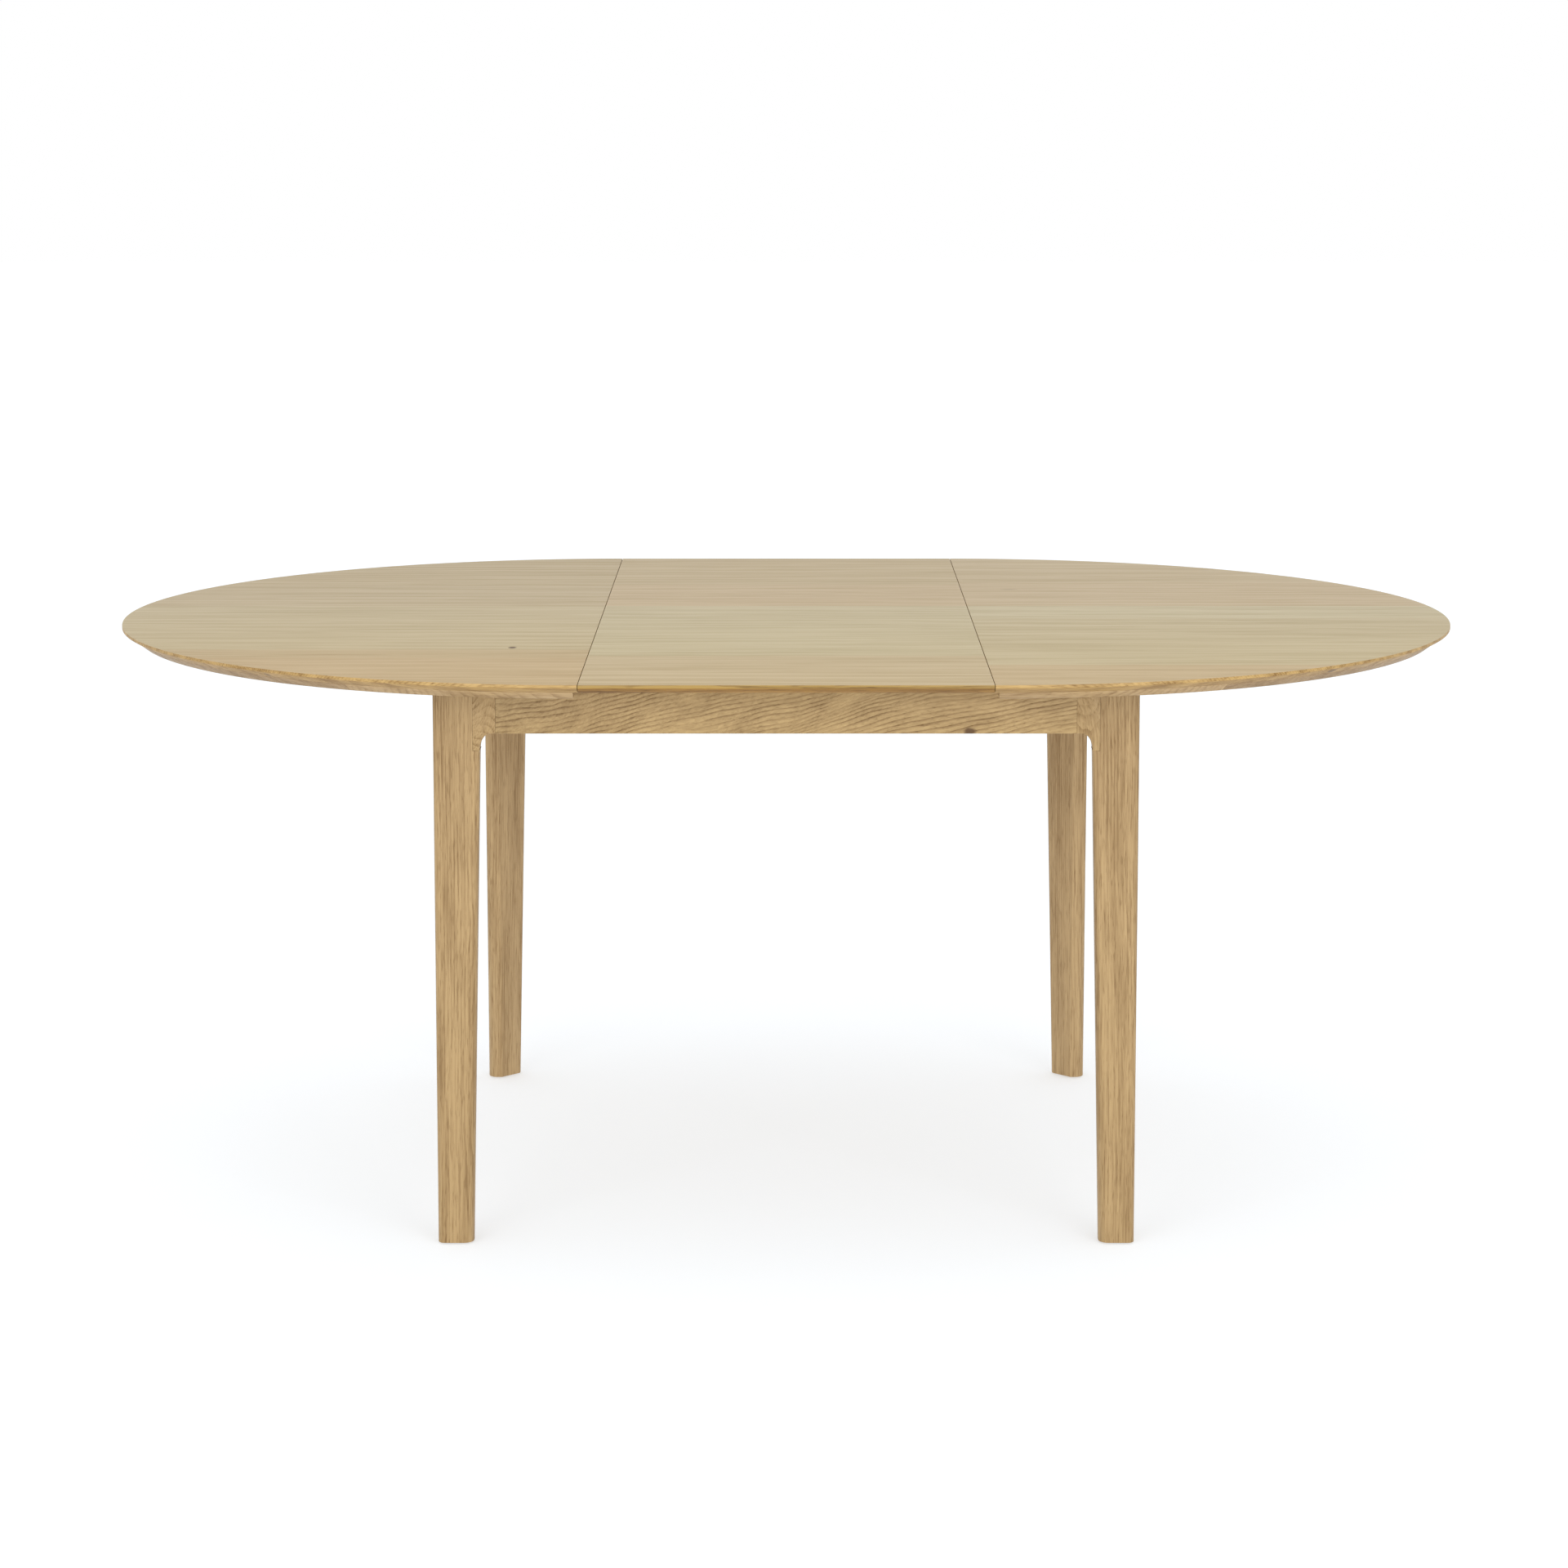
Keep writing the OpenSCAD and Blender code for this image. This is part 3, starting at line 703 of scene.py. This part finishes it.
# %% Leg places and saw cuts
LEG_END_W = APRON_T - 2 * MM
SHOULDER_H = 14 * MM


def corner_box(sx, sy, u, v, z):
    """A box given by its spans inwards from a corner of the base and its heights."""
    xs = sorted(sx * (BASE_X - a) for a in u)
    ys = sorted(sy * (BASE_Y - a) for a in v)
    return (xs[0], ys[0], z[0]), (xs[1], ys[1], z[1])


def saw_diagonal(sx, sy, reach):
    """Cuts away what lies further than reach, summed both ways, from the corner."""
    place = (sx * (BASE_X - reach), sy * BASE_Y, 0)
    cut(place, (sx, sy, 0))


def cut_shoulder(leg, sx, sy):
    """Slopes the top of the leg's sawn face in to the post's, clear of the two ears."""
    span = (APRON_T, POST_W)
    tool = cube_at("shoulder", *corner_box(sx, sy, span, span,
                                           (KNEE_Z - 2 * SHOULDER_H, KNEE_Z + MM)))
    edit(tool)
    ledge = (KNEE_W + LEG_END_W) - (POST_W + APRON_T)
    place = (sx * (BASE_X - POST_W - APRON_T), sy * BASE_Y, KNEE_Z)
    cut(place, (-sx * SHOULDER_H, -sy * SHOULDER_H, ledge))
    settle(tool)
    boolean(leg, tool, "DIFFERENCE")


print("leg at the knee", KNEE_W, "wide, with", LEG_END_W, "left of each inner side")

# %% Legs
CORNER_R = 8 * MM
EDGE_R = 13 * MM
EDGE_KNEE_R = 5 * MM
LEG_ARRIS = 1.2 * MM
FOOT_ARRIS = 0.8 * MM
# The post is sunk this far into the leg, so that the two join into one solid.
POST_SINK = 2 * MM
LEG_TONES = {"front": ((168, 140, 97), (124, 96, 58)), "back": ((176, 148, 106), (134, 106, 68))}
LEG_SEEDS = {("front", "left"): 3.0, ("front", "right"): 8.0, ("back", "left"): 13.0,
             ("back", "right"): 17.0}
FLOOR_GAP = leg_low.z


def make_leg(where, side, seed):
    """One leg with its post."""
    sx, sy = (-1 if side == "left" else 1), (-1 if where == "front" else 1)

    def inward(p):
        """How far a point lies inwards from the corner, along x and along y."""
        return BASE_X - sx * p.x, BASE_Y - sy * p.y

    def upright(p):
        """Whether an edge's middle is well clear of both ends, as an upright edge's is."""
        return FLOOR_GAP + 0.1 < p.z < KNEE_Z - 0.1

    low, high = corner_box(sx, sy, (0, KNEE_W), (0, KNEE_W), (FLOOR_GAP, KNEE_Z))
    piece = cube_at(f"leg_{where}_{side}_oak", low, high)
    edit(piece)
    saw_diagonal(sx, sy, KNEE_W + LEG_END_W)
    pick(piece, "EDGE", lambda p: upright(p) and max(inward(p)) < MM)
    bpy.ops.mesh.bevel(offset=CORNER_R, segments=8, affect="EDGES")
    pick(piece, "EDGE", lambda p: upright(p) and min(inward(p)) < MM and max(inward(p)) > FOOT_W)
    bpy.ops.mesh.bevel(offset=EDGE_KNEE_R, segments=12, affect="EDGES")
    pick(piece, "EDGE", lambda p: upright(p) and abs(min(inward(p)) - LEG_END_W) < MM)
    bpy.ops.mesh.bevel(offset=LEG_ARRIS, segments=3, affect="EDGES")
    opened = EDGE_R / EDGE_KNEE_R
    for axis in (0, 1):
        end = [BASE_X * sx, BASE_Y * sy, FLOOR_GAP]
        end[axis] -= (sx, sy)[axis] * KNEE_W
        drawn_in = [0, 0, 0]
        drawn_in[axis] = (sx, sy)[axis] * (KNEE_W - FOOT_W)
        pick(piece, "VERT", lambda p: p.z < FLOOR_GAP + MM and inward(p)[axis] > FOOT_W
             and inward(p)[1 - axis] < 2 * EDGE_KNEE_R)
        bpy.ops.transform.resize(value=(opened, opened, 1), center_override=end)
        pick(piece, "VERT", lambda p: p.z < FLOOR_GAP + MM and inward(p)[axis] > FOOT_W)
        bpy.ops.transform.translate(value=drawn_in)
    pick(piece, "EDGE", lambda p: p.z < FLOOR_GAP + MM)
    bpy.ops.mesh.bevel(offset=FOOT_ARRIS, segments=2, affect="EDGES")
    settle(piece)
    cut_shoulder(piece, sx, sy)

    low, high = corner_box(sx, sy, (0, POST_W), (0, POST_W), (KNEE_Z - POST_SINK, APRON_TOP))
    post = cube_at("post", low, high)
    edit(post)
    saw_diagonal(sx, sy, POST_W + APRON_T)
    pick(post, "EDGE", lambda p: max(inward(p)) < MM and APRON_Z - 0.1 < p.z < APRON_TOP - MM)
    bpy.ops.mesh.bevel(offset=CORNER_R, segments=8, affect="EDGES")
    settle(post)
    boolean(piece, post, "UNION")
    bpy.ops.object.shade_smooth_by_angle(angle=math.radians(30))
    corner = (sx * BASE_X, sy * BASE_Y)
    pale, deep = LEG_TONES[where]
    paint(piece, base_oak(f"oak_leg_{where}_{side}", "Z", seed, pale=pale, deep=deep,
                          pith=(corner[0] - sx * 0.5, corner[1] + sy * 0.3),
                          rings=260, lean=(0.012 * sx, 0, 0), wander=0.008, lines=0.42,
                          streaks=0.3, fibres=0.34, pores=0.42))
    stand_for(piece, f"leg_{where}_{side}", "base")


for (where, side), seed in LEG_SEEDS.items():
    make_leg(where, side, seed)
print("legs", len(LEG_SEEDS))

# %% [markdown]
# Two ear blocks stand beside each post and carry the apron's line round a curve into the leg. Each
# is a block with a box cut away below the curve's centre and a cylinder cut away above it. The
# cylinder is sawn off at the apron's lower edge first, so the ear never ends above that edge.

# %% Ears
KNEE_R = 25 * MM
# The curve's centre is this far above the ears' lower ends.
KNEE_RISE = 2 * MM
EAR_ARRIS = 0.7 * MM
# The ears come from the same timber as their leg, from a little further along.
EAR_SEED_STEP = 0.6


def make_ears(where, side, seed):
    """The two ear blocks beside one post, as one piece."""
    sx, sy = (-1 if side == "left" else 1), (-1 if where == "front" else 1)
    knee_centre = KNEE_Z + KNEE_RISE
    both = []
    for turn in (0, 1):
        spans = [(POST_W, HEAD_W), (0, APRON_T)]
        clear = [(KNEE_W, HEAD_W + MM), (-MM, APRON_T + MM)]
        if turn:
            spans.reverse()
            clear.reverse()
        ear = cube_at("ear", *corner_box(sx, sy, *spans, (KNEE_Z, APRON_TOP)))
        hollow = cube_at("hollow", *corner_box(sx, sy, *clear, (KNEE_Z - MM, knee_centre)))
        boolean(ear, hollow, "DIFFERENCE")
        deselect()
        middle = [sx * (BASE_X - KNEE_W - KNEE_R), sy * (BASE_Y - APRON_T / 2)]
        tilt = (math.pi / 2, 0, 0)
        if turn:
            middle = [sx * (BASE_X - APRON_T / 2), sy * (BASE_Y - KNEE_W - KNEE_R)]
            tilt = (0, math.pi / 2, 0)
        bpy.ops.mesh.primitive_cylinder_add(vertices=120, radius=KNEE_R, depth=2 * APRON_T,
                                            location=(*middle, knee_centre), rotation=tilt)
        curve = settle(bpy.context.object)
        edit(curve)
        cut((0, 0, APRON_Z), (0, 0, -1))
        settle(curve)
        boolean(ear, curve, "DIFFERENCE")
        soften(ear, EAR_ARRIS)
        both.append(ear)
    deselect()
    for ear in both:
        ear.select_set(True)
    bpy.context.view_layer.objects.active = both[0]
    bpy.ops.object.join()
    piece = bpy.context.object
    piece.name = f"ears_{where}_{side}_oak"
    paint(piece, base_oak(f"oak_ears_{where}_{side}", "Z", seed, pale=(170, 142, 98),
                          deep=(126, 98, 58), pith=(sx * (BASE_X - 0.066), sy * (BASE_Y - 0.05)),
                          rings=260, lean=(0.3 * sx, 3.5, APRON_Z + 0.03), wander=0.03, lines=0.75,
                          streaks=0.2))
    stand_for(piece, f"ears_{where}_{side}", "base")


for (where, side), seed in LEG_SEEDS.items():
    make_ears(where, side, seed + EAR_SEED_STEP)
print("pairs of ears", len(LEG_SEEDS))

# %% [markdown]
# What is hidden under the top keeps its CAD shape and takes plain workshop finishes: bare beech
# for the timber that is seldom seen, bright plated steel for the fixings and a little brass. The
# nylon glides use the oak's layers too, in two near blacks, so that they are faintly mottled.


# %% Hidden timber and metal
def metal(name, colour, roughness):
    """Plated metal with faint drawn lines."""
    material = bpy.data.materials.new(name)
    material.use_nodes = True
    tree = material.node_tree
    shader = tree.nodes["Principled BSDF"]
    shader.inputs["Metallic"].default_value = 1.0
    place = node_of(tree, "ShaderNodeTexCoord").outputs["Object"]
    lines = node_of(tree, "ShaderNodeTexNoise", {"Vector": place, "Scale": 900.0, "Detail": 3.0})
    ramp = node_of(tree, "ShaderNodeMapRange", {"Value": lines.outputs["Fac"],
                                                "To Min": roughness - 0.08,
                                                "To Max": roughness + 0.12})
    tree.links.new(ramp.outputs[0], shader.inputs["Roughness"])
    tint = node_of(tree, "ShaderNodeMix", data_type="RGBA", blend_type="MIX")
    tree.links.new(lines.outputs["Fac"], tint.inputs[0])
    tint.inputs[6].default_value = colour
    tint.inputs[7].default_value = tuple(c * 0.82 for c in colour[:3]) + (1,)
    tree.links.new(tint.outputs[2], shader.inputs["Base Color"])
    return material


beech = {
    axis: oak(f"beech_{axis}", srgb(196, 160, 118), srgb(158, 122, 82), axis, pith=(0.0, 0.3),
              rings=200, seed=21.0, lines=0.25, streaks=0.2, fibres=0.15, pores=0.3)
    for axis in "XY"
}
steel = metal("plated_steel", srgb(200, 202, 206), 0.32)
brass = metal("turned_brass", srgb(214, 178, 108), 0.3)
nylon = oak("nylon_glide", srgb(52, 50, 48), srgb(40, 38, 36), "Z", lines=0.1, roughness=0.5)
GRAIN_Y = ("seam_batten", "leaf_batten", "bearer_left", "bearer_right")
SLOT_FINISH = {"steel": steel, "brass": brass, "glide": nylon}

for part in frame["record"]["subparts"]:
    node, slot = part["node"], part["material_slot"]
    finish = SLOT_FINISH.get(slot)
    if slot == "beech":
        finish = beech["Y" if any(key in node for key in GRAIN_Y) else "X"]
    if finish:
        paint(frame["nodes"][node], finish)
print("hidden finishes", sorted(SLOT_FINISH), "and beech")
